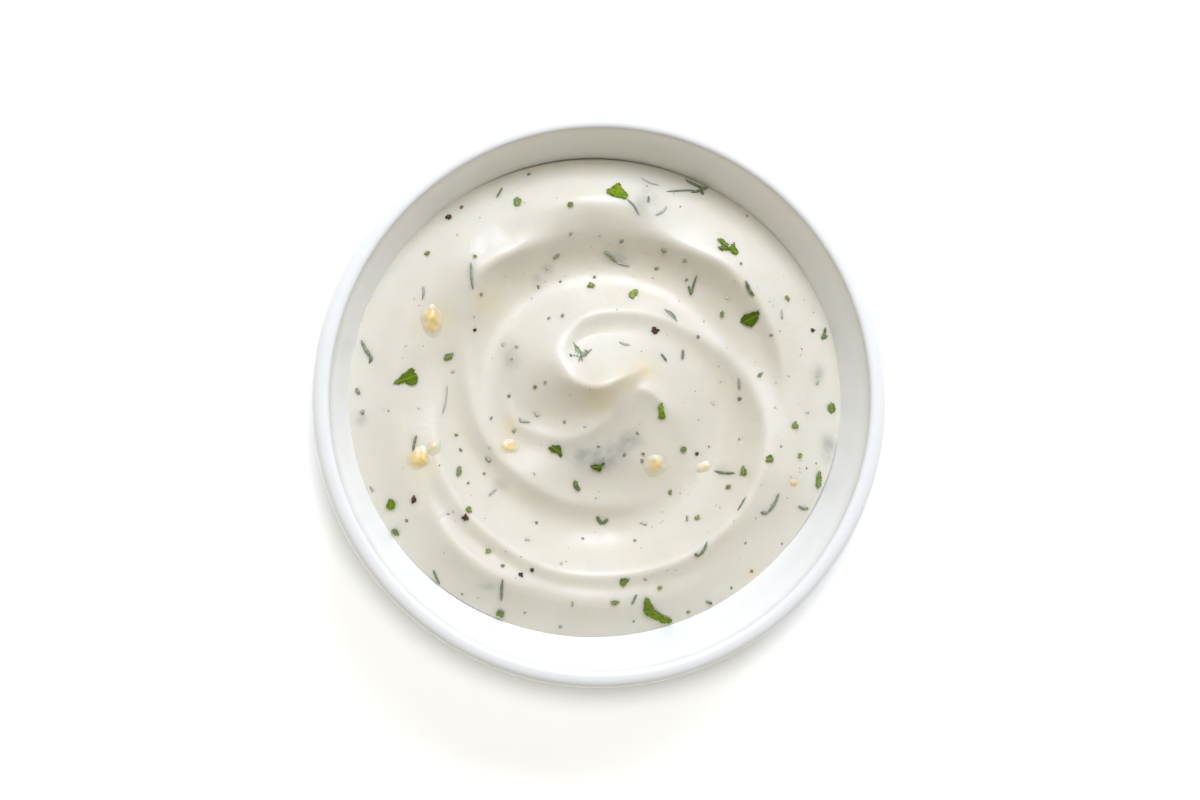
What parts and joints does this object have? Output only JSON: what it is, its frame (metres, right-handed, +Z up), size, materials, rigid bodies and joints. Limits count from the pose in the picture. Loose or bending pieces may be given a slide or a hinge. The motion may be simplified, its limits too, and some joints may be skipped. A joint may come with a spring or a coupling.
{
  "type": "bowl of ranch dressing",
  "caption": "Small round white porcelain dip bowl filled with creamy herb dressing, its top stirred into a soft spoon swirl with herb flakes, garlic and pepper.",
  "frame": {"origin": "on the table under the middle of the bowl", "axes": "+Z up along the bowl's axis; +Y towards the far side of the swirl, the top of the picture"},
  "size_m": [0.09, 0.09, 0.04],
  "materials": {
    "porcelain": "glossy white glaze",
    "dressing": "moist, soft gloss, slightly translucent cream",
    "herbs": "fresh parsley and dill, moist, with fine veins",
    "garlic": "soft yellow garlic, moist",
    "pepper": "dry cracked pepper"
  },
  "bodies": {
    "root": {"bowl": "porcelain", "ranch_dressing": "dressing"}
  },
  "joints": []
}
